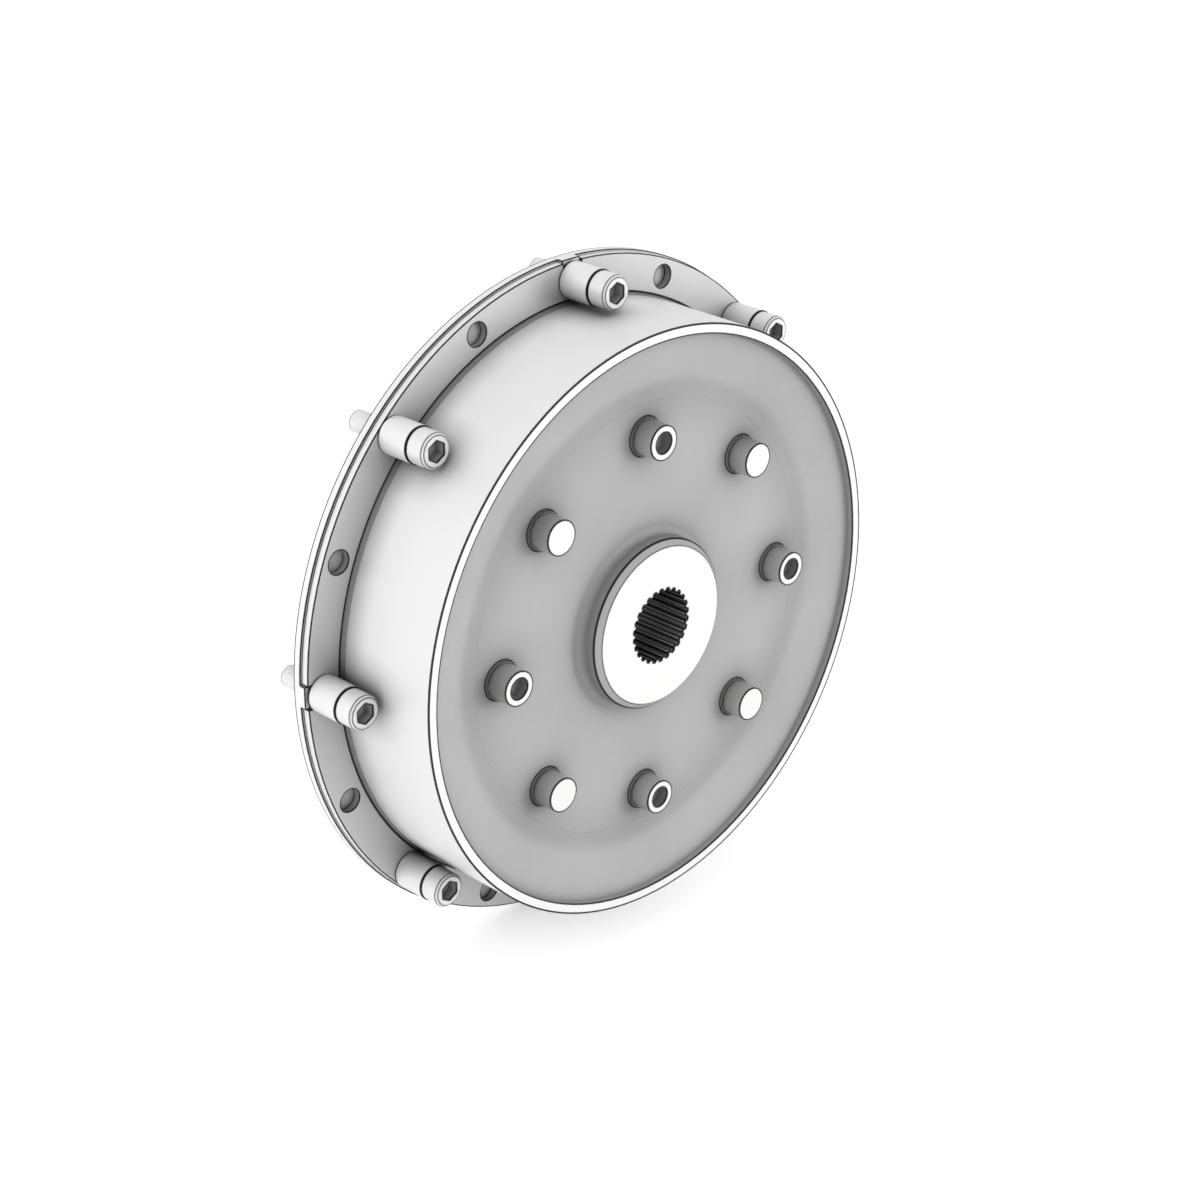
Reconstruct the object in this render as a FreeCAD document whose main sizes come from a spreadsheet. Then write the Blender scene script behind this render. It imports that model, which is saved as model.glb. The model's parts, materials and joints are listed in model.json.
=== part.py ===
import FreeCAD, Part
import Sketcher
import math
import os

# Flexible shaft coupling, bolted to a flywheel, with a splined hub held in a rubber element.
# Units are millimetres. The shaft axis is X and the hub faces +X.
# The origin is on the axis, at the rear face of the flange plate. +Z is up.

os.makedirs("parts", exist_ok=True)
doc = FreeCAD.newDocument("coupling")

# Dimensions. A number drives the model, and a rule in words follows the names above it.
DIMS = [
    ("drum_foot_radius", 138.7),
    ("spacer_radius", 8.5),
    ("spacer_gap", 0.5),
    ("spacer_bore_radius", 5.5),
    ("spacer_length", 17.0),
    ("flange_pitch_radius", "drum_foot_radius + spacer_gap + spacer_radius"),
    ("flange_margin", 9.45),
    ("plate_radius", "flange_pitch_radius + flange_margin"),
    ("plate_bore_radius", 116.0),
    ("plate_thick", 4.0),
    ("ring_step", 0.95),
    ("clamp_ring_radius", "plate_radius - ring_step"),
    ("ring_gap", 0.4),
    ("clamp_ring_bore_radius", "drum_foot_radius + ring_gap"),
    ("clamp_ring_thick", 4.0),
    ("lug_width", 10.5),
    ("lug_depth", 2.75),
    ("lug_reach", 3.0),
    ("notch_play", 0.3),
    ("fixing_hole_radius", 5.35),
    ("screw_hole_radius", "spacer_bore_radius"),
    ("drum_foot_reach", "plate_thick + clamp_ring_thick"),
    ("drum_cone_length", 2.2),
    ("drum_cone_drop", 0.9),
    ("rim_drop", 1.2),
    ("rim_wall", 4.9),
    ("rim_face", 62.84),
    ("rim_radius", "drum_foot_radius - rim_drop"),
    ("rim_inner_radius", "rim_radius - rim_wall"),
    ("shank_radius", 4.8),
    ("shank_length", 40.0),
    ("thread_radius", 5.0),
    ("thread_chamfer", 0.4),
    ("head_radius", 8.0),
    ("head_length", 10.0),
    ("head_chamfer", 1.0),
    ("socket_half_flat", 4.0),
    ("socket_half_corner", "socket_half_flat * 1.154701"),
    ("socket_depth", 5.5),
    ("hub_face", 63.14),
    ("hub_radius", 40.1),
    ("hub_chamfer", 3.0),
    ("hub_skin", 1.6),
    ("hub_rear", 8.0),
    ("boss_radius", 31.0),
    ("boss_step", 22.0),
    ("boss_cone_end", 31.0),
    ("boss_chamfer", 1.5),
    ("spline_tip_radius", 16.25),
    ("spline_depth", 1.25),
    ("spline_root_radius", "spline_tip_radius + spline_depth"),
    ("spline_corner_radius", "spline_tip_radius + spline_depth * 0.8"),
    ("spline_half_mouth", 1.08),
    ("spline_half_corner", 0.95),
    ("spline_half_root", 0.72),
    ("disc_back", 38.0),
    ("disc_thick", 8.0),
    ("web_face", 52.1),
    ("web_round", 3.5),
    ("web_skin", 2.1),
    ("dish_depth", 7.2),
    ("web_rim_face", "web_face + dish_depth"),
    ("pin_pitch_radius", 87.1),
    ("pin_radius", 8.1),
    ("pin_face", 63.68),
    ("pin_back", 34.5),
    ("pin_rivet_radius", 10.5),
    ("pin_rivet_thick", "disc_back - pin_back"),
    ("pin_fit", 0.05),
    ("pin_hole_radius", 4.76),
    ("pin_hole_depth", 5.3),
    ("sleeve_wall", 0.85),
    ("sleeve_radius", "pin_radius + pin_fit + sleeve_wall"),
    ("sleeve_stand", 1.6),
    ("sleeve_face", "web_face + sleeve_stand"),
    ("band_gap", 1.9),
    ("band_wall", 4.235),
    ("band_inner_radius", "pin_pitch_radius + sleeve_radius + band_gap"),
    ("band_outer_radius", "band_inner_radius + band_wall"),
    ("band_back", 14.0),
    ("band_front", "web_face - web_skin"),
    ("bond_gap", 0.05),
    ("crease_offset", 5.325),
    ("crease_radius", "band_outer_radius + crease_offset"),
    ("crease_round", 15.0),
    ("rubber_back_inner", 15.0),
    ("rubber_back_outer", 25.0),
    ("rubber_back_sag", 60.0),
]
sheet = doc.addObject("Spreadsheet::Sheet", "Dim")
sheet.Label = "Dim"
VALUE = {}


def value(rule):
    """Number for a rule such as 'web_face - 2 * web_round'."""
    total = 0.0
    sign = 1.0
    factor = None
    for token in rule.split():
        if token in ("+", "-"):
            total += sign * factor
            sign = -1.0 if token == "-" else 1.0
            factor = None
        elif token != "*":
            number = VALUE[token] if token in VALUE else float(token)
            factor = number if factor is None else factor * number
    return total + sign * factor


for number, (word, size) in enumerate(DIMS, start=1):
    derived = isinstance(size, str)
    sheet.set("A%d" % number, word)
    sheet.set("B%d" % number, "=" + size if derived else str(size))
    sheet.setAlias("B%d" % number, word)
    VALUE[word] = value(size) if derived else size
doc.recompute()


def link(rule):
    """The same rule as an expression on the sheet."""
    return " ".join("Dim." + token if token in VALUE else token for token in rule.split())


def make_body(name):
    body = doc.addObject("PartDesign::Body", name)
    body.Label = name
    return body


def make_sketch(body, name, plane, offset=None):
    sketch = body.newObject("Sketcher::SketchObject", name)
    origin_plane = [o for o in body.Origin.OriginFeatures if o.Role == plane][0]
    sketch.AttachmentSupport = [(origin_plane, "")]
    sketch.MapMode = "FlatFace"
    if offset:
        sketch.setExpression("AttachmentOffset.Base.z", link(offset))
    return sketch


def edge_ends(point):
    """Sketch numbers of an edge's first and last ends, which swap on an arc that turns right."""
    return (2, 1) if len(point) == 4 and point[3] < 0 else (1, 2)


def add_outline(sketch, points):
    """Closed outline. Each point is (x rule, y rule) or (x rule, y rule, radius rule, side).

    A radius makes the edge that leaves the point an arc. side is 1 when the arc turns left.
    """
    spots = [(value(p[0]), value(p[1])) for p in points]
    count = len(points)
    for i, point in enumerate(points):
        ax, ay = spots[i]
        bx, by = spots[(i + 1) % count]
        first = FreeCAD.Vector(ax, ay, 0)
        last = FreeCAD.Vector(bx, by, 0)
        if len(point) == 4:
            radius = value(point[2])
            side = point[3]
            half = math.hypot(bx - ax, by - ay) / 2
            rise = radius - math.sqrt(max(radius * radius - half * half, 0))
            nx, ny = (by - ay) / (2 * half), -(bx - ax) / (2 * half)
            middle = FreeCAD.Vector((ax + bx) / 2 + side * rise * nx, (ay + by) / 2 + side * rise * ny, 0)
            sketch.addGeometry(Part.Arc(first, middle, last), False)
        else:
            sketch.addGeometry(Part.LineSegment(first, last), False)
    for i in range(count):
        after = (i + 1) % count
        sketch.addConstraint(Sketcher.Constraint("Coincident", i, edge_ends(points[i])[1],
                                                 after, edge_ends(points[after])[0]))
    for i, point in enumerate(points):
        start = edge_ends(point)[0]
        for kind, rule, spot in (("DistanceX", point[0], spots[i][0]), ("DistanceY", point[1], spots[i][1])):
            index = sketch.addConstraint(Sketcher.Constraint(kind, -1, 1, i, start, spot))
            if any(token in VALUE for token in rule.split()):
                sketch.setExpression("Constraints[%d]" % index, link(rule))
        if len(point) == 4:
            index = sketch.addConstraint(Sketcher.Constraint("Radius", i, value(point[2])))
            sketch.setExpression("Constraints[%d]" % index, link(point[2]))


def add_circle(sketch, x_rule, y_rule, radius_rule):
    middle = FreeCAD.Vector(value(x_rule), value(y_rule), 0)
    index = sketch.addGeometry(Part.Circle(middle, FreeCAD.Vector(0, 0, 1), value(radius_rule)), False)
    for kind, rule, spot in (("DistanceX", x_rule, middle.x), ("DistanceY", y_rule, middle.y)):
        number = sketch.addConstraint(Sketcher.Constraint(kind, -1, 1, index, 3, spot))
        if any(token in VALUE for token in rule.split()):
            sketch.setExpression("Constraints[%d]" % number, link(rule))
    number = sketch.addConstraint(Sketcher.Constraint("Radius", index, value(radius_rule)))
    sketch.setExpression("Constraints[%d]" % number, link(radius_rule))


def turn(body, name, points):
    """Turned solid: outline in the XY plane, revolved about X."""
    sketch = make_sketch(body, name + "_outline", "XY_Plane")
    add_outline(sketch, points)
    revolve = body.newObject("PartDesign::Revolution", name)
    revolve.Profile = sketch
    revolve.ReferenceAxis = (sketch, ["H_Axis"])
    revolve.Angle = 360
    return revolve


def pattern(body, name, feature, sketch, count):
    copies = body.newObject("PartDesign::PolarPattern", name)
    copies.Originals = [feature]
    copies.Axis = (sketch, ["N_Axis"])
    copies.Angle = 360
    copies.Occurrences = count
    body.Tip = copies
    return copies


def cut_through(body, name, sketch):
    pocket = body.newObject("PartDesign::Pocket", name)
    pocket.Profile = sketch
    pocket.Type = "ThroughAll"
    pocket.Reversed = True
    return pocket


def drill_ring(body, name, pitch_rule, radius_rule, count, half_step=False):
    """Through holes on a pitch circle. half_step puts them between the quarter points."""
    sketch = make_sketch(body, name + "_place", "YZ_Plane")
    if half_step:
        turned = math.pi / count
        add_circle(sketch, "%s * %.6f" % (pitch_rule, math.cos(turned)),
                   "%s * %.6f" % (pitch_rule, math.sin(turned)), radius_rule)
    else:
        add_circle(sketch, pitch_rule, "0", radius_rule)
    pocket = cut_through(body, name, sketch)
    return pattern(body, name + "_set", pocket, sketch, count)


def place(body, x_rule, pitch_rule, angle):
    body.setExpression("Placement.Base.x", link(x_rule))
    body.setExpression("Placement.Base.y", link(pitch_rule) + " * cos(%d deg)" % angle)
    body.setExpression("Placement.Base.z", link(pitch_rule) + " * sin(%d deg)" % angle)


bodies = []

# Flange plate: rear annulus with four locating lugs
plate = make_body("flange_plate")
turn(plate, "plate_disc", [("0", "plate_bore_radius"), ("plate_thick", "plate_bore_radius"),
                           ("plate_thick", "plate_radius"), ("0", "plate_radius")])
lug_sketch = make_sketch(plate, "lug_outline", "YZ_Plane", "plate_thick")
shoulder_share = math.cos(math.asin(VALUE["lug_width"] / 2 / VALUE["plate_radius"]))
lug_shoulder = "plate_radius * %.8f" % shoulder_share
add_outline(lug_sketch, [("lug_width * -0.5", "plate_radius - lug_depth"),
                         ("lug_width * 0.5", "plate_radius - lug_depth"),
                         ("lug_width * 0.5", lug_shoulder, "plate_radius", 1),
                         ("lug_width * -0.5", lug_shoulder)])
lug = plate.newObject("PartDesign::Pad", "lug")
lug.Profile = lug_sketch
lug.setExpression("Length", link("lug_reach"))
pattern(plate, "lug_set", lug, lug_sketch, 4)
drill_ring(plate, "plate_screw_hole", "flange_pitch_radius", "screw_hole_radius", 8)
bodies.append(plate)

# Clamp ring: front annulus with free fixing holes between the screws
clamp = make_body("clamp_ring")
turn(clamp, "clamp_disc", [("plate_thick", "clamp_ring_bore_radius"),
                           ("plate_thick + clamp_ring_thick", "clamp_ring_bore_radius"),
                           ("plate_thick + clamp_ring_thick", "clamp_ring_radius"),
                           ("plate_thick", "clamp_ring_radius")])
notch_sketch = make_sketch(clamp, "notch_outline", "YZ_Plane")
add_outline(notch_sketch, [("lug_width * -0.5 - notch_play", "plate_radius - lug_depth - notch_play"),
                           ("lug_width * 0.5 + notch_play", "plate_radius - lug_depth - notch_play"),
                           ("lug_width * 0.5 + notch_play", "plate_radius + lug_depth"),
                           ("lug_width * -0.5 - notch_play", "plate_radius + lug_depth")])
notch = cut_through(clamp, "notch", notch_sketch)
pattern(clamp, "notch_set", notch, notch_sketch, 4)
drill_ring(clamp, "clamp_screw_hole", "flange_pitch_radius", "screw_hole_radius", 8)
drill_ring(clamp, "fixing_hole", "flange_pitch_radius", "fixing_hole_radius", 8, half_step=True)
bodies.append(clamp)

# Drum shell: foot seated on the plate, cone above the clamp ring, plain tube up to the rim
drum = make_body("drum_shell")
turn(drum, "drum_tube", [("plate_thick", "rim_inner_radius"), ("rim_face", "rim_inner_radius"),
                         ("rim_face", "rim_radius"),
                         ("drum_foot_reach + drum_cone_length", "drum_foot_radius - drum_cone_drop"),
                         ("drum_foot_reach", "drum_foot_radius"), ("plate_thick", "drum_foot_radius")])
bodies.append(drum)

# Rubber element: bonded to the drum outside and to the inner band inside.
# Its front is a shallow cone that runs down to a rounded crease and then lies flat.
rubber = make_body("rubber_element")
cone_rise = VALUE["web_rim_face"] - VALUE["web_face"]
cone_tilt = math.atan(cone_rise / (VALUE["rim_inner_radius"] - VALUE["crease_radius"]))
crease_share = math.tan(cone_tilt / 2)
turn(rubber, "rubber_moulding", [
    ("web_rim_face", "rim_inner_radius"),
    ("web_face + crease_round * %.8f" % (crease_share * math.sin(cone_tilt)),
     "crease_radius + crease_round * %.8f" % (crease_share * math.cos(cone_tilt)), "crease_round", 1),
    ("web_face", "crease_radius - crease_round * %.8f" % crease_share),
    ("web_face", "band_outer_radius + bond_gap"),
    ("rubber_back_inner", "band_outer_radius + bond_gap", "rubber_back_sag", 1),
    ("rubber_back_outer", "rim_inner_radius")])
bodies.append(rubber)

# Inner band: steel ring that carries the rubber
band = make_body("inner_band")
turn(band, "band_tube", [("band_back", "band_inner_radius"), ("band_front", "band_inner_radius"),
                         ("band_front", "band_outer_radius"), ("band_back", "band_outer_radius")])
bodies.append(band)

# Hub disc: joins the hub and the inner band, and carries the pins
disc = make_body("hub_disc")
turn(disc, "disc_plate", [("disc_back", "hub_radius"), ("disc_back + disc_thick", "hub_radius"),
                          ("disc_back + disc_thick", "band_inner_radius"),
                          ("disc_back", "band_inner_radius")])
drill_ring(disc, "disc_pin_hole", "pin_pitch_radius", "pin_radius + pin_fit", 8)
bodies.append(disc)

# Rubber web: smooth moulded front over the disc and up the side of the hub
web = make_body("rubber_web")
turn(web, "web_moulding", [
    ("disc_back + disc_thick", "hub_radius - hub_skin"),
    ("hub_face - hub_chamfer", "hub_radius - hub_skin"),
    ("hub_face - hub_chamfer", "hub_radius"),
    ("web_face + web_round", "hub_radius", "web_round", -1),
    ("web_face", "hub_radius + web_round"),
    ("web_face", "band_outer_radius"),
    ("band_front", "band_outer_radius"),
    ("band_front", "band_inner_radius"),
    ("disc_back + disc_thick", "band_inner_radius")])
drill_ring(web, "web_sleeve_hole", "pin_pitch_radius", "sleeve_radius + pin_fit", 8)
bodies.append(web)

# Hub: chamfered face, long boss, involute-style spline of 26 spaces through the bore
hub = make_body("splined_hub")
turn(hub, "hub_turning", [
    ("hub_rear", "spline_tip_radius"), ("hub_face", "spline_tip_radius"),
    ("hub_face", "hub_radius - hub_chamfer"), ("hub_face - hub_chamfer", "hub_radius"),
    ("hub_face - hub_chamfer", "hub_radius - hub_skin"),
    ("disc_back + disc_thick", "hub_radius - hub_skin"), ("disc_back + disc_thick", "hub_radius"),
    ("boss_cone_end", "hub_radius"), ("boss_step", "boss_radius"),
    ("hub_rear + boss_chamfer", "boss_radius"), ("hub_rear", "boss_radius - boss_chamfer")])
space_sketch = make_sketch(hub, "spline_space_outline", "YZ_Plane")
add_outline(space_sketch, [
    ("spline_half_mouth * -1", "spline_tip_radius - 0.5"), ("spline_half_mouth", "spline_tip_radius - 0.5"),
    ("spline_half_corner", "spline_corner_radius"), ("spline_half_root", "spline_root_radius"),
    ("spline_half_root * -1", "spline_root_radius"), ("spline_half_corner * -1", "spline_corner_radius")])
space = cut_through(hub, "spline_space", space_sketch)
pattern(hub, "spline_set", space, space_sketch, 26)
bodies.append(hub)


def make_spacer(name, angle):
    body = make_body(name)
    turn(body, "spacer_tube", [("0", "spacer_bore_radius"), ("spacer_length", "spacer_bore_radius"),
                               ("spacer_length", "spacer_radius"), ("0", "spacer_radius")])
    place(body, "plate_thick + clamp_ring_thick", "flange_pitch_radius", angle)
    return body


# How far the threaded end of a screw stands out behind the flange plate
screw_reach = "shank_length - plate_thick - clamp_ring_thick - spacer_length"


def make_screw(name, angle):
    body = make_body(name)
    turn(body, "screw_turning", [
        ("0", "0"), ("shank_length + head_length", "0"),
        ("shank_length + head_length", "head_radius - head_chamfer"),
        ("shank_length + head_length - head_chamfer", "head_radius"),
        ("shank_length", "head_radius"), ("shank_length", "shank_radius"),
        (screw_reach, "shank_radius"), (screw_reach, "thread_radius"),
        ("thread_chamfer", "thread_radius"), ("0", "thread_radius - thread_chamfer")])
    hexagon = make_sketch(body, "socket_outline", "YZ_Plane", "shank_length + head_length")
    add_outline(hexagon, [
        ("0", "socket_half_corner"), ("socket_half_flat * -1", "socket_half_corner * 0.5"),
        ("socket_half_flat * -1", "socket_half_corner * -0.5"), ("0", "socket_half_corner * -1"),
        ("socket_half_flat", "socket_half_corner * -0.5"), ("socket_half_flat", "socket_half_corner * 0.5")])
    socket = body.newObject("PartDesign::Pocket", "socket")
    socket.Profile = hexagon
    socket.setExpression("Length", link("socket_depth"))
    place(body, "plate_thick + clamp_ring_thick + spacer_length - shank_length", "flange_pitch_radius", angle)
    return body


def make_pin(name, angle, drilled):
    body = make_body(name)
    turn(body, "pin_turning", [
        ("0", "0"), ("pin_face - pin_back", "0"), ("pin_face - pin_back", "pin_radius"),
        ("pin_rivet_thick", "pin_radius"), ("pin_rivet_thick", "pin_rivet_radius"), ("0", "pin_rivet_radius")])
    if drilled:
        hole = make_sketch(body, "pin_hole_place", "YZ_Plane", "pin_face - pin_back")
        add_circle(hole, "0", "0", "pin_hole_radius")
        pocket = body.newObject("PartDesign::Pocket", "pin_hole")
        pocket.Profile = hole
        pocket.setExpression("Length", link("pin_hole_depth"))
    place(body, "pin_back", "pin_pitch_radius", angle)
    return body


def make_sleeve(name, angle):
    body = make_body(name)
    turn(body, "sleeve_tube", [
        ("0", "pin_radius + pin_fit"), ("sleeve_face - disc_back - disc_thick", "pin_radius + pin_fit"),
        ("sleeve_face - disc_back - disc_thick", "sleeve_radius"), ("0", "sleeve_radius")])
    place(body, "disc_back + disc_thick", "pin_pitch_radius", angle)
    return body


# Eight stations, every 45 degrees, counted from +Y towards +Z
for station in range(8):
    angle = 45 * station
    bodies.append(make_spacer("spacer_%d" % (station + 1), angle))
    bodies.append(make_screw("socket_screw_%d" % (station + 1), angle))
    kind = "drilled_pin" if station % 2 == 0 else "solid_pin"
    bodies.append(make_pin("%s_%d" % (kind, station // 2 + 1), angle, station % 2 == 0))
    bodies.append(make_sleeve("pin_sleeve_%d" % (station + 1), angle))

doc.recompute()

for thing in doc.Objects:
    if "Invalid" in thing.State or "Error" in thing.State:
        raise SystemExit("feature failed: %s %s" % (thing.Name, thing.State))

for body in bodies:
    shape = body.Shape
    if not shape.isValid() or len(shape.Solids) != 1:
        raise SystemExit("bad solid: %s (%d solids)" % (body.Label, len(shape.Solids)))
    box = shape.BoundBox
    print("%-18s volume %10.1f  x %7.2f %7.2f  y %7.2f %7.2f  z %7.2f %7.2f" % (
        body.Label, shape.Volume, box.XMin, box.XMax, box.YMin, box.YMax, box.ZMin, box.ZMax))
    shape.exportStep("parts/%s.step" % body.Label)
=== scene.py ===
import json
import math

import bpy
from mathutils import Matrix, Vector

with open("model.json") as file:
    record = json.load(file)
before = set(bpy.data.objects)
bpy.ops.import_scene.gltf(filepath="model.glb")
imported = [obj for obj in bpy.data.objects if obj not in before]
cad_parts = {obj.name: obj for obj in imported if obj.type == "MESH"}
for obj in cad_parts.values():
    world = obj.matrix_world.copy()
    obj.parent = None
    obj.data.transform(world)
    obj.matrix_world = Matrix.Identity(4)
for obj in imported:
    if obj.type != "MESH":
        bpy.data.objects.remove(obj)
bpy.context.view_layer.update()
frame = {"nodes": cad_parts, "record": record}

MM = 0.001

# Sizes taken from the part's source, in metres
DRUM_FRONT = 62.84 * MM
DRUM_FOOT_END = 10.3 * MM
DRUM_RIM_RADIUS = 137.5 * MM
DRUM_INNER_RADIUS = 132.6 * MM
BOND_RADIUS = 102.26 * MM
FLANGE_RADIUS = 157.15 * MM
FLANGE_STEP = 1.05 * MM
HUB_RADIUS = 40.1 * MM
HUB_FACE_RADIUS = 37.15 * MM
HUB_CHAMFER_START = 60.0 * MM

# How far the dark line reaches from a sharp edge, and how far off a surface still shades its neighbour
EDGE_WIDTH = 0.80 * MM
SHADE_REACH = 32 * MM
EDGE_COLOUR = "#101012"


def linear(hex_colour):
    """sRGB hex to linear red, green, blue and alpha."""
    channels = []
    for start in (1, 3, 5):
        value = int(hex_colour[start:start + 2], 16) / 255
        channels.append(value / 12.92 if value <= 0.04045 else ((value + 0.055) / 1.055) ** 2.4)
    return (*channels, 1.0)


def scaled(colour, share):
    """A darker or lighter copy of a linear colour."""
    return (*(channel * share for channel in colour[:3]), 1.0)


def add_node(tree, kind, links=None, **settings):
    """One node with its settings, its socket values and its links."""
    node = tree.nodes.new(kind)
    for name, value in settings.items():
        setattr(node, name, value)
    for socket, value in (links or {}).items():
        target = node.inputs[socket]
        if isinstance(value, bpy.types.NodeSocket):
            tree.links.new(value, target)
        else:
            target.default_value = value
    return node


def math_node(tree, operation, first, second=None):
    inputs = {0: first} if second is None else {0: first, 1: second}
    return add_node(tree, "ShaderNodeMath", inputs, operation=operation).outputs[0]


def mix_colour(tree, factor, first, second):
    """first where the factor is 0, second where it is 1."""
    node = add_node(tree, "ShaderNodeMix", {0: factor, 6: first, 7: second}, data_type="RGBA")
    return node.outputs[2]


def smooth_range(tree, value, low, high, out_low=0.0, out_high=1.0):
    """value taken from low..high to out_low..out_high, with soft ends."""
    links = {"Value": value, "From Min": low, "From Max": high, "To Min": out_low, "To Max": out_high}
    return add_node(tree, "ShaderNodeMapRange", links, interpolation_type="SMOOTHSTEP").outputs[0]


def noise(tree, place, scale, detail, roughness=0.5):
    links = {"Vector": place, "Scale": scale, "Detail": detail, "Roughness": roughness}
    return add_node(tree, "ShaderNodeTexNoise", links).outputs["Fac"]


def axis_position(tree):
    """The place, its distance along the shaft and its distance from the axis, in metres."""
    place = add_node(tree, "ShaderNodeTexCoord").outputs["Object"]
    x, y, z = add_node(tree, "ShaderNodeSeparateXYZ", {0: place}).outputs
    squares = math_node(tree, "ADD", math_node(tree, "MULTIPLY", y, y), math_node(tree, "MULTIPLY", z, z))
    return place, x, math_node(tree, "SQRT", squares)


def edge_mask(tree, width):
    """1 along a sharp outer edge, 0 elsewhere: short rays into the solid leave it only near an edge."""
    inner = add_node(tree, "ShaderNodeAmbientOcclusion", {"Distance": width}, samples=10, inside=True,
                     only_local=True).outputs["AO"]
    return smooth_range(tree, inner, 0.995, 0.92)


def corner_shade(tree, colour, power, reach=SHADE_REACH, least=0.0):
    """Colour darkened where other surfaces stand close by, down to a least share."""
    open_share = add_node(tree, "ShaderNodeAmbientOcclusion", {"Distance": reach}, samples=8).outputs["AO"]
    shade = math_node(tree, "MAXIMUM", math_node(tree, "POWER", open_share, power), least)
    return mix_colour(tree, shade, linear("#000000"), colour)


def new_material(name):
    material = bpy.data.materials.new(name)
    material.use_nodes = True
    tree = material.node_tree
    tree.nodes.clear()
    return material, tree


def steel(name, colour, roughness, metallic, lay="turned", groove=0.9, shade=0.9, reach=SHADE_REACH,
          least=0.0, grime=0.05, edge=EDGE_WIDTH, patch=None, patch_colour="#BEBEBE", line=None):
    """Zinc plated or ground steel: turning or grinding marks, a little cloudiness, darker edges.

    lay is "faced" for rings about the shaft on a face, and "turned" for lines round a side as well.
    groove is the spacing of the tool marks in mm, drawn coarse enough to show at this scale.
    shade, reach and least say how surfaces close by darken it.
    patch gives the share of a second tone at a place, a painted light or painted shade tone, and line adds a
    dark line there.
    """
    material, tree = new_material(name)
    place, x, across = axis_position(tree)
    base = linear(colour)
    # cloudy plating, about 30 mm across
    cloud = smooth_range(tree, noise(tree, place, 34.0, 4.0, 0.55), 0.3, 0.7, 1.0 - grime, 1.0)
    tint = mix_colour(tree, cloud, scaled(base, 0.80), base)
    # painted light or shade: a lighter or darker second tone mixed in at a place
    if patch:
        tint = mix_colour(tree, patch(tree, x, across), tint, linear(patch_colour))
    # tool marks 12 micrometres deep, over a fine grain under a millimetre across
    run = across if lay == "faced" else math_node(tree, "ADD", across, x)
    steps = math_node(tree, "DIVIDE", run, groove * MM)
    rings = add_node(tree, "ShaderNodeTexNoise", {"W": steps, "Scale": 1.0, "Detail": 2.0},
                     noise_dimensions="1D").outputs["Fac"]
    grain = noise(tree, place, 1500.0, 2.0)
    marks = math_node(tree, "ADD", math_node(tree, "MULTIPLY", rings, 0.7),
                      math_node(tree, "MULTIPLY", grain, 0.3))
    bump = add_node(tree, "ShaderNodeBump", {"Height": marks, "Strength": 0.35, "Distance": 0.012 * MM})
    rough = smooth_range(tree, marks, 0.25, 0.75, roughness - 0.06, roughness + 0.06)
    shaded = corner_shade(tree, tint, shade, reach, least)
    lines = edge_mask(tree, edge)
    if line:
        lines = math_node(tree, "MAXIMUM", lines, line(tree, x, across))
    colour_out = mix_colour(tree, lines, shaded, linear(EDGE_COLOUR))
    shader = add_node(tree, "ShaderNodeBsdfPrincipled", {
        "Base Color": colour_out, "Roughness": rough, "Normal": bump.outputs["Normal"], "Metallic": metallic})
    add_node(tree, "ShaderNodeOutputMaterial", {"Surface": shader.outputs[0]})
    return material


def moulded_rubber(name, colour):
    """Moulded natural rubber with a grey filler: matt, fine grain from the mould, faint bloom."""
    material, tree = new_material(name)
    place, x, across = axis_position(tree)
    base = linear(colour)
    bloom = smooth_range(tree, noise(tree, place, 22.0, 5.0, 0.6), 0.25, 0.75)
    tint = mix_colour(tree, bloom, scaled(base, 0.93), base)
    # painted shade: the crease between the flat web and the cone painted darker, fading towards the middle
    towards_crease = smooth_range(tree, across, 82 * MM, 105 * MM)
    past_crease = smooth_range(tree, across, 113.5 * MM, 107 * MM)
    crease_painted_shade = math_node(tree, "MULTIPLY", math_node(tree, "MULTIPLY", towards_crease, past_crease), 0.34)
    tint = mix_colour(tree, crease_painted_shade, tint, scaled(base, 0.5))
    # grain about 0.8 mm across, drawn coarser than the real mould blast
    grain = noise(tree, place, 1200.0, 3.0)
    bump = add_node(tree, "ShaderNodeBump", {"Height": grain, "Strength": 0.3, "Distance": 0.05 * MM})
    rough = smooth_range(tree, grain, 0.3, 0.7, 0.62, 0.78)
    shaded = corner_shade(tree, tint, 1.3)
    # the mouldings meet each other, the hub's lip and the drum in flush joints, which get no dark edge
    off_bond = math_node(tree, "ABSOLUTE", math_node(tree, "SUBTRACT", across, BOND_RADIUS))
    away = math_node(tree, "GREATER_THAN", off_bond, 1.5 * MM)
    off_hub = math_node(tree, "GREATER_THAN", across, HUB_RADIUS + 1.0 * MM)
    off_drum = math_node(tree, "LESS_THAN", across, DRUM_INNER_RADIUS - 1.2 * MM)
    free = math_node(tree, "MULTIPLY", math_node(tree, "MULTIPLY", away, off_hub), off_drum)
    edges = math_node(tree, "MULTIPLY", edge_mask(tree, EDGE_WIDTH), free)
    colour_out = mix_colour(tree, edges, shaded, linear(EDGE_COLOUR))
    shader = add_node(tree, "ShaderNodeBsdfPrincipled", {
        "Base Color": colour_out, "Roughness": rough, "Normal": bump.outputs["Normal"], "Metallic": 0.0,
        "IOR": 1.52, "Specular IOR Level": 0.35})
    add_node(tree, "ShaderNodeOutputMaterial", {"Surface": shader.outputs[0]})
    return material


def hub_chamfer_painted_shade(tree, x, across):
    """Painted shade: the turned chamfer round the hub's face, painted darker as if it faced away from the
    light.
    """
    outside = math_node(tree, "GREATER_THAN", across, HUB_FACE_RADIUS)
    in_front = math_node(tree, "GREATER_THAN", x, HUB_CHAMFER_START)
    return math_node(tree, "MULTIPLY", outside, in_front)


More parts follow.
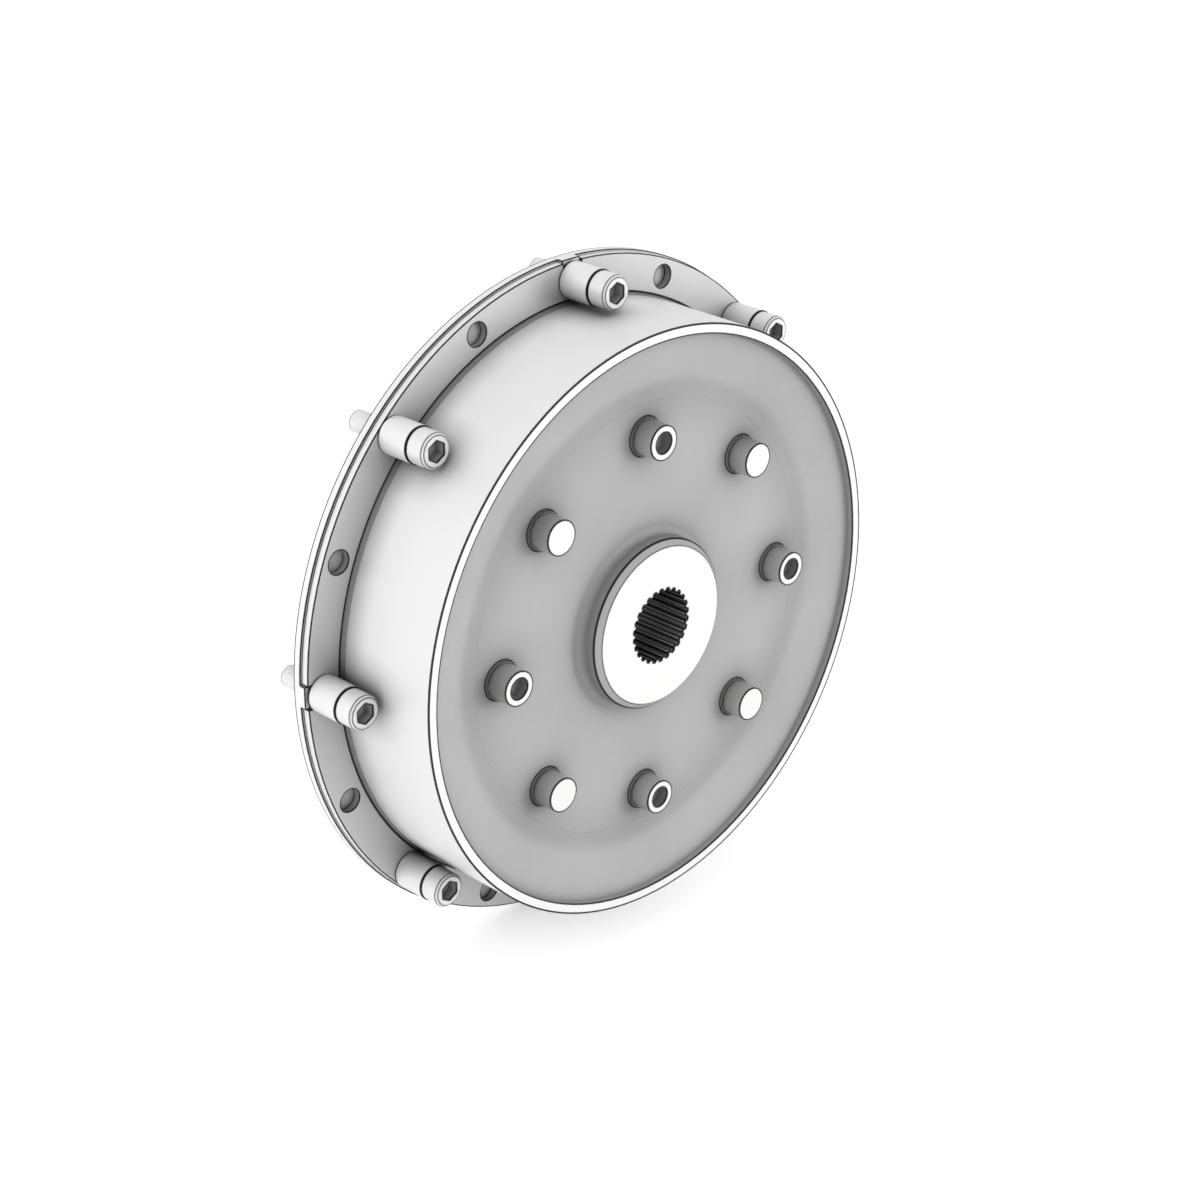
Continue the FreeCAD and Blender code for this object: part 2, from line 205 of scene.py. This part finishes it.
def flange_rim_painted_light(tree, x, across):
    """Painted light: the turned outer edges of the plate and the ring, painted brighter than their faces as
    if more fully lit.
    """
    return math_node(tree, "GREATER_THAN", across, FLANGE_RADIUS - FLANGE_STEP)


def drum_foot_painted_shade(tree, x, across):
    """Painted shade: the rolled foot of the drum, in the groove beside the clamp ring, and more weakly its
    inner wall, painted darker.
    """
    foot = math_node(tree, "LESS_THAN", x, DRUM_FOOT_END)
    inner = math_node(tree, "LESS_THAN", across, DRUM_INNER_RADIUS + 0.15 * MM)
    return math_node(tree, "MAXIMUM", foot, math_node(tree, "MULTIPLY", inner, 0.65))


def rim_corner(tree, x, across):
    """The outer corner of the drum's rim, on its face."""
    near = math_node(tree, "GREATER_THAN", across, DRUM_RIM_RADIUS - 0.85 * MM)
    face = math_node(tree, "GREATER_THAN", x, DRUM_FRONT - 0.05 * MM)
    return math_node(tree, "MULTIPLY", near, face)


MATERIALS = {
    # the flange's outer edges get a lighter tone, painted light
    "flange_steel": steel("zinc_plated_flange_steel", "#DADADA", 0.50, 0.30, lay="faced", shade=0.5,
                          edge=0.66 * MM, patch=flange_rim_painted_light, patch_colour="#FCFCFC"),
    # the drum's foot groove and inner wall get a darker tone, painted shade
    "drum_steel": steel("zinc_plated_drum_steel", "#F8F8F8", 0.48, 0.20, groove=1.2, shade=0.8,
                        reach=16 * MM, patch=drum_foot_painted_shade, patch_colour="#989898", line=rim_corner),
    # the hub's chamfer gets a darker tone, painted shade
    "hub_steel": steel("faced_hub_steel", "#F6F6F5", 0.45, 0.30, lay="faced", shade=2.1, patch=hub_chamfer_painted_shade),
    "pin_steel": steel("ground_pin_steel", "#F4F4F3", 0.42, 0.30, shade=1.6, least=0.32),
    "sleeve_steel": steel("phosphated_sleeve_steel", "#D2D2D1", 0.55, 0.30, shade=1.3, least=0.2,
                          edge=0.38 * MM),
    "spacer_steel": steel("turned_spacer_steel", "#FBFBFB", 0.46, 0.22, groove=0.8, shade=0.55, grime=0.02),
    "screw_steel": steel("bright_zinc_screw_steel", "#F9F9F9", 0.40, 0.27, groove=0.7, shade=0.6, least=0.16,
                         grime=0.02),
    "rubber": moulded_rubber("grey_moulded_rubber", "#C1C1C1"),
}

slots = {row["node"]: row["material_slot"] for row in frame["record"]["subparts"]}
for node_name, thing in frame["nodes"].items():
    material = MATERIALS[slots[node_name]]
    if len(thing.material_slots) == 0:
        thing.data.materials.append(material)
    for slot in thing.material_slots:
        slot.material = material

# Floor: white paper just under the flange, lifted a little towards white for the camera and in reflections
FLOOR_HEIGHT = -FLANGE_RADIUS - 0.4 * MM
FLOOR_REACH = 6.0
corners = [(-FLOOR_REACH, -FLOOR_REACH, 0), (FLOOR_REACH, -FLOOR_REACH, 0), (FLOOR_REACH, FLOOR_REACH, 0),
           (-FLOOR_REACH, FLOOR_REACH, 0)]
floor_mesh = bpy.data.meshes.new("floor")
floor_mesh.from_pydata(corners, [], [(0, 1, 2, 3)])
floor = bpy.data.objects.new("floor", floor_mesh)
floor.location = (0, 0, FLOOR_HEIGHT)
bpy.context.scene.collection.objects.link(floor)
floor_material, floor_tree = new_material("white_studio_paper")
paper = add_node(floor_tree, "ShaderNodeBsdfDiffuse", {"Color": linear("#F2F2F2")})
lift = add_node(floor_tree, "ShaderNodeEmission", {"Color": linear("#FFFFFF"), "Strength": 0.40})
ray = add_node(floor_tree, "ShaderNodeLightPath")
seen = math_node(floor_tree, "MAXIMUM", ray.outputs["Is Camera Ray"], ray.outputs["Is Glossy Ray"])
gate = add_node(floor_tree, "ShaderNodeMixShader", {0: seen, 2: lift.outputs[0]})
both = add_node(floor_tree, "ShaderNodeAddShader", {0: paper.outputs[0], 1: gate.outputs[0]})
add_node(floor_tree, "ShaderNodeOutputMaterial", {"Surface": both.outputs[0]})
floor.data.materials.append(floor_material)

# Room: an even pale light, and plain white behind the part
world = bpy.data.worlds.new("studio")
bpy.context.scene.world = world
world.use_nodes = True
world_tree = world.node_tree
world_tree.nodes.clear()
room = add_node(world_tree, "ShaderNodeBackground", {"Color": linear("#FFFFFF"), "Strength": 0.78})
white = add_node(world_tree, "ShaderNodeBackground", {"Color": linear("#FFFFFF"), "Strength": 1.0})
world_ray = add_node(world_tree, "ShaderNodeLightPath")
choose = add_node(world_tree, "ShaderNodeMixShader", {
    0: world_ray.outputs["Is Camera Ray"], 1: room.outputs[0], 2: white.outputs[0]})
add_node(world_tree, "ShaderNodeOutputWorld", {"Surface": choose.outputs[0]})


def soft_light(name, place, size, watts):
    """Square lamp that faces the middle of the coupling."""
    lamp = bpy.data.lights.new(name, "AREA")
    lamp.shape = "SQUARE"
    lamp.size = size
    lamp.energy = watts
    holder = bpy.data.objects.new(name, lamp)
    holder.location = place
    holder.rotation_euler = (-Vector(place)).to_track_quat("-Z", "Y").to_euler()
    bpy.context.scene.collection.objects.link(holder)


soft_light("front_light", (2.0, 1.0, 0.2), 0.9, 14.0)
soft_light("side_light", (-0.5, -1.9, 0.9), 1.6, 8.0)

# Camera: the photograph's angle, distance and framing, solved in its pixels
PHOTO_WIDTH = 1200
FOCAL_PIXELS = 2519
PIXEL = 0.4447 * MM
AIM_RIGHT = -60.63 * PIXEL
AIM_UP = 25.33 * PIXEL
AZIMUTH = math.radians(45.0175)
ELEVATION = math.radians(25.0314)
SENSOR = 36
right = Vector((math.sin(AZIMUTH), math.cos(AZIMUTH), 0))
toward = Vector((math.cos(AZIMUTH) * math.cos(ELEVATION), -math.sin(AZIMUTH) * math.cos(ELEVATION),
                 math.sin(ELEVATION)))
up = toward.cross(right)
eye = Vector((DRUM_FRONT, 0, 0)) + right * AIM_RIGHT + up * AIM_UP + toward * FOCAL_PIXELS * PIXEL
camera_data = bpy.data.cameras.new("camera")
camera_data.sensor_width = SENSOR
camera_data.lens = SENSOR * FOCAL_PIXELS / PHOTO_WIDTH
camera_data.clip_start = 0.05
camera_data.clip_end = 60
camera = bpy.data.objects.new("camera", camera_data)
turned = Matrix((right, up, toward)).transposed().to_4x4()
camera.matrix_world = Matrix.Translation(eye) @ turned
bpy.context.scene.collection.objects.link(camera)
bpy.context.scene.camera = camera

bpy.context.scene.view_settings.view_transform = "Standard"
